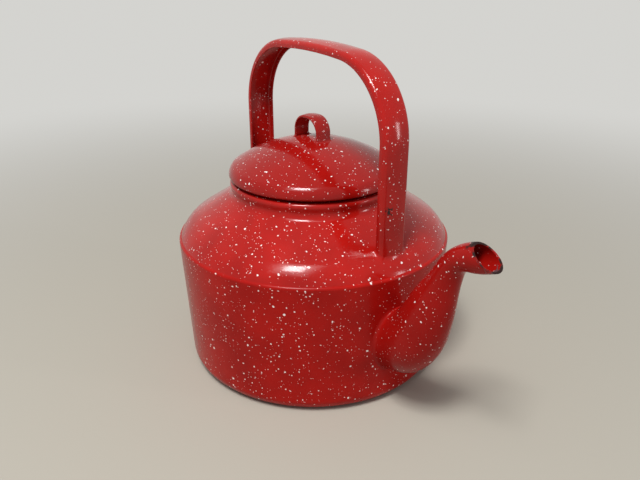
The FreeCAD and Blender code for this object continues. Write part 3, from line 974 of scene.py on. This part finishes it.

# %% [markdown]
# Each piece has its own mix of the recipe: how deep its red is overall, how many specks fell on it, and how
# strongly and how sharply it mirrors. The pot and the spout mirror softly, so that the spout doesn't draw a
# hard edge on the wall beside it. The spout's lip is worn grey at its tip and worn dark at its back, where
# the dark patch also spreads inside as painted shade of the throat, and the front leg of the handle has one
# small chip.

# %% Coats
# Near black: the ground coat where the enamel is worn through, also used as painted shade inside the spout's
# throat.
GROUND_COAT_AND_SHADE = (0.022, 0.010, 0.009, 1)
WORN_GREY = (0.085, 0.055, 0.060, 1)
CHIP_SPOT = (87.3 * MM, -5.5 * MM, 133.5 * MM)
LIP_REACH = 0.6 * MM
lip_places = [v.co for v in spout.data.vertices if abs((v.co - mouth_place).dot(mouth_normal)) < LIP_REACH]
lip_tip = tuple(max(lip_places, key=lambda place: place.x))
lip_back = tuple(min(lip_places, key=lambda place: place.x))
lip_wear_and_shade = (
    (lip_tip, None, 5.5 * MM, 520.0, 1.0, WORN_GREY),
    # Worn ground coat at the back of the lip, spread inside the mouth as painted shade of the throat.
    (lip_back, None, 4.2 * MM, 300.0, 0.9, GROUND_COAT_AND_SHADE),
    (tuple(mouth_place), tuple(mouth_normal), 0.60 * MM, 190.0, 0.45, GROUND_COAT_AND_SHADE),
)
chip = ((CHIP_SPOT, None, 3.4 * MM, 520.0, 0.8, GROUND_COAT_AND_SHADE),)
# The lid's pieces and the spout are mixed a deeper red overall than the pot, the shoulder and the handle.
pot_enamel = enamel_material(
    "red_enamel_pot", red_lightness=1.10, scatter=0.95, gloss=0.14, dullness=0.20)
shoulder_enamel = enamel_material(
    "red_enamel_shoulder", red_lightness=1.15, scatter=0.95, gloss=0.28, dullness=0.10)
lid_enamel = enamel_material(
    "red_enamel_lid", red_lightness=0.55, scatter=0.85, gloss=0.28, dullness=0.10)
spout_enamel = enamel_material(
    "red_enamel_worn_shaded_lip", red_lightness=0.60, scatter=0.65, gloss=0.14, dullness=0.18, colour_patches=lip_wear_and_shade)
handle_enamel = enamel_material(
    "red_enamel_chipped", red_lightness=1.20, scatter=0.55, gloss=0.28, dullness=0.10, colour_patches=chip)

# %% [markdown]
# Each finished piece is given its finish and hung on the body that it moves with, and the solids that it
# stands for are hidden.

# %% Finish the pieces and hide their solids
for piece, finish, body, nodes in (
    (pot, pot_enamel, "kettle", ("pot",)),
    (shoulder, shoulder_enamel, "kettle", ("shoulder",)),
    (spout, spout_enamel, "kettle", ("spout_left_half", "spout_right_half")),
    (handle, handle_enamel, "kettle", ("handle_strap",)),
    (lid, lid_enamel, "lid", ("lid_dome",)),
    (lid_ring, lid_enamel, "lid", ("lid_skirt",)),
    (loop, lid_enamel, "lid", ("lid_loop",)),
):
    piece.data.materials.clear()
    piece.data.materials.append(finish)
    piece.vertex_groups.clear()
    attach(piece, body)
    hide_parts(*nodes)
    print(piece.name, "moves with", body)

# %% [markdown]
# The kettle stands on a plain pale floor. Around it the floor takes light and shadow as any floor does.
# Further out it fades to the pale tone of the surroundings, which the camera and the reflections see and the
# light doesn't come from.

# %% Floor
PALE = (0.66, 0.655, 0.63, 1)
FLOOR_COLOUR, FLOOR_ROUGHNESS = (0.41, 0.38, 0.32, 1), 0.9
FLOOR_SIZE = 40.0
FADE_START, FADE_END = 0.12, 1.00


def seen_rays(tree):
    """One for the rays of the camera, of reflections and through glass, and nought for the rest."""
    path = tree.nodes.new("ShaderNodeLightPath")
    mirrored = math_node(tree, "MAXIMUM", path.outputs["Is Glossy Ray"], path.outputs["Is Transmission Ray"])
    return math_node(tree, "MAXIMUM", path.outputs["Is Camera Ray"], mirrored)


clear_selection()
bpy.ops.mesh.primitive_plane_add(size=FLOOR_SIZE, location=(0, 0, 0))
floor = bpy.context.object
floor.name = "floor"
floor_material = bpy.data.materials.new("pale_floor")
floor_material.use_nodes = True
tree = floor_material.node_tree
surface = tree.nodes["Principled BSDF"]
surface.inputs["Base Color"].default_value = FLOOR_COLOUR
surface.inputs["Roughness"].default_value = FLOOR_ROUGHNESS
distant = tree.nodes.new("ShaderNodeEmission")
distant.inputs["Color"].default_value = PALE
place = tree.nodes.new("ShaderNodeTexCoord").outputs["Object"]
fade = tree.nodes.new("ShaderNodeMapRange")
fade.interpolation_type = "SMOOTHSTEP"
fade.inputs["From Min"].default_value = FADE_START
fade.inputs["From Max"].default_value = FADE_END
tree.links.new(distance_from(tree, place, (0, 0, 0)), fade.inputs["Value"])
blend = tree.nodes.new("ShaderNodeMixShader")
tree.links.new(math_node(tree, "MULTIPLY", fade.outputs["Result"], seen_rays(tree)), blend.inputs["Fac"])
tree.links.new(surface.outputs["BSDF"], blend.inputs[1])
tree.links.new(distant.outputs["Emission"], blend.inputs[2])
tree.links.new(blend.outputs["Shader"], tree.nodes["Material Output"].inputs["Surface"])
floor.data.materials.append(floor_material)
print("floor fades out from", FADE_START, "to", FADE_END, "m")

# %% [markdown]
# The world gives the even light of a bright room. What the camera and the reflections see of it is the plain
# tone that the floor fades to, so that no horizon shows.

# %% World
AMBIENT, AMBIENT_STRENGTH = (0.64, 0.66, 0.68, 1), 0.55
world = bpy.data.worlds.new("studio")
bpy.context.scene.world = world
world.use_nodes = True
tree = world.node_tree
ambient = tree.nodes["Background"]
ambient.inputs["Color"].default_value = AMBIENT
ambient.inputs["Strength"].default_value = AMBIENT_STRENGTH
backdrop = tree.nodes.new("ShaderNodeBackground")
backdrop.inputs["Color"].default_value = PALE
blend = tree.nodes.new("ShaderNodeMixShader")
tree.links.new(seen_rays(tree), blend.inputs["Fac"])
tree.links.new(ambient.outputs["Background"], blend.inputs[1])
tree.links.new(backdrop.outputs["Background"], blend.inputs[2])
tree.links.new(blend.outputs["Shader"], tree.nodes["World Output"].inputs["Surface"])
print("world light has strength", AMBIENT_STRENGTH)

# %% [markdown]
# Plain soft studio light: one lamp hangs high over the camera's left shoulder with a wider, fainter one round
# it. Their reflection is the bright patch on the shoulder with its soft fringe, and the thin lines on the
# rims. A narrow lamp to the right draws the streak down the handle's leg.

# %% Lamps
LAMP_AIM = Vector((0, 0, 0.1))


def soft_lamp(name, azimuth, elevation, distance, size, power):
    """Area lamp aimed at the kettle's middle, placed by its direction as seen from there."""
    data = bpy.data.lights.new(name, "AREA")
    data.shape = "RECTANGLE"
    data.size, data.size_y = size
    data.energy = power
    lamp = bpy.data.objects.new(name, data)
    bpy.context.scene.collection.objects.link(lamp)
    a, e = math.radians(azimuth), math.radians(elevation)
    direction = Vector((math.sin(a) * math.cos(e), -math.cos(a) * math.cos(e), math.sin(e)))
    lamp.location = LAMP_AIM + direction * distance
    lamp.rotation_euler = (-direction).to_track_quat("-Z", "Y").to_euler()
    print(name, "at", [round(value, 2) for value in lamp.location], "m")


soft_lamp("key_lamp", azimuth=31, elevation=62, distance=1.5, size=(0.32, 0.44), power=18)
soft_lamp("key_glow", azimuth=31, elevation=62, distance=1.52, size=(0.70, 0.95), power=7)
soft_lamp("side_lamp", azimuth=127, elevation=7, distance=1.5, size=(0.12, 0.40), power=2.4)
